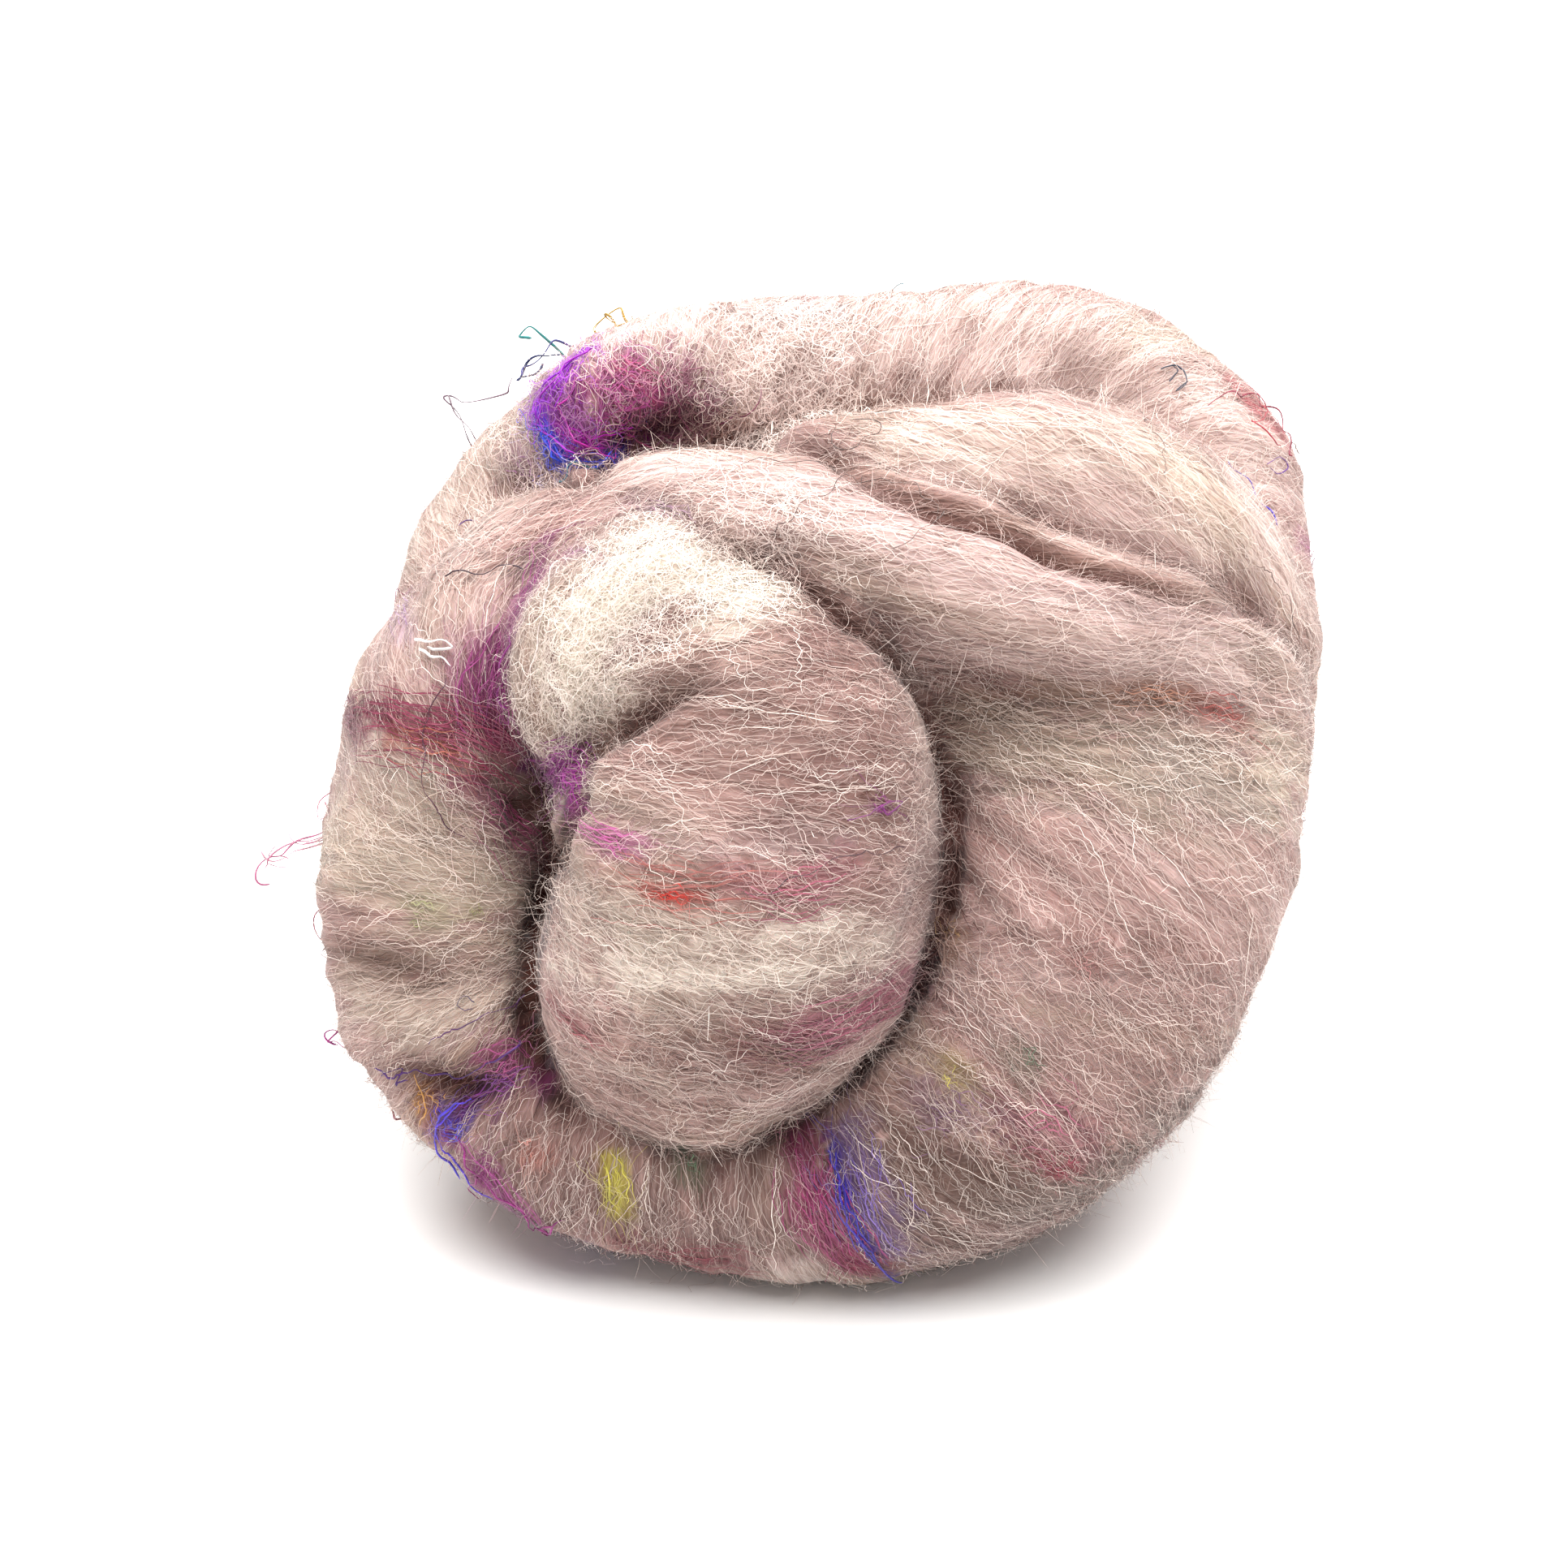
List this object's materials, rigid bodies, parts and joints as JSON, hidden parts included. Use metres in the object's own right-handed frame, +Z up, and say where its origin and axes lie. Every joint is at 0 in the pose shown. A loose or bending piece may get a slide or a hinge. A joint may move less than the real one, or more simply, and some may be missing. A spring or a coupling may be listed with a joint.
{
  "type": "fiber batt",
  "caption": "Carded fiber batt for hand spinning and felting, rolled into a thick soft rope and coiled into a rounded bun that lies on a small flat spot.",
  "frame": {"origin": "the table under the middle of the bun", "axes": "+Z up; -Y towards the side that the coiled face looks to, tipped back; +X to the right of a viewer in front of it"},
  "size_m": [0.2, 0.1728, 0.1577],
  "materials": {
    "batt": "loose carded wool, matt and fuzzy, dusty pink and ivory with streaks of dyed silk waste"
  },
  "bodies": {
    "root": {"batt": "batt"}
  },
  "joints": []
}
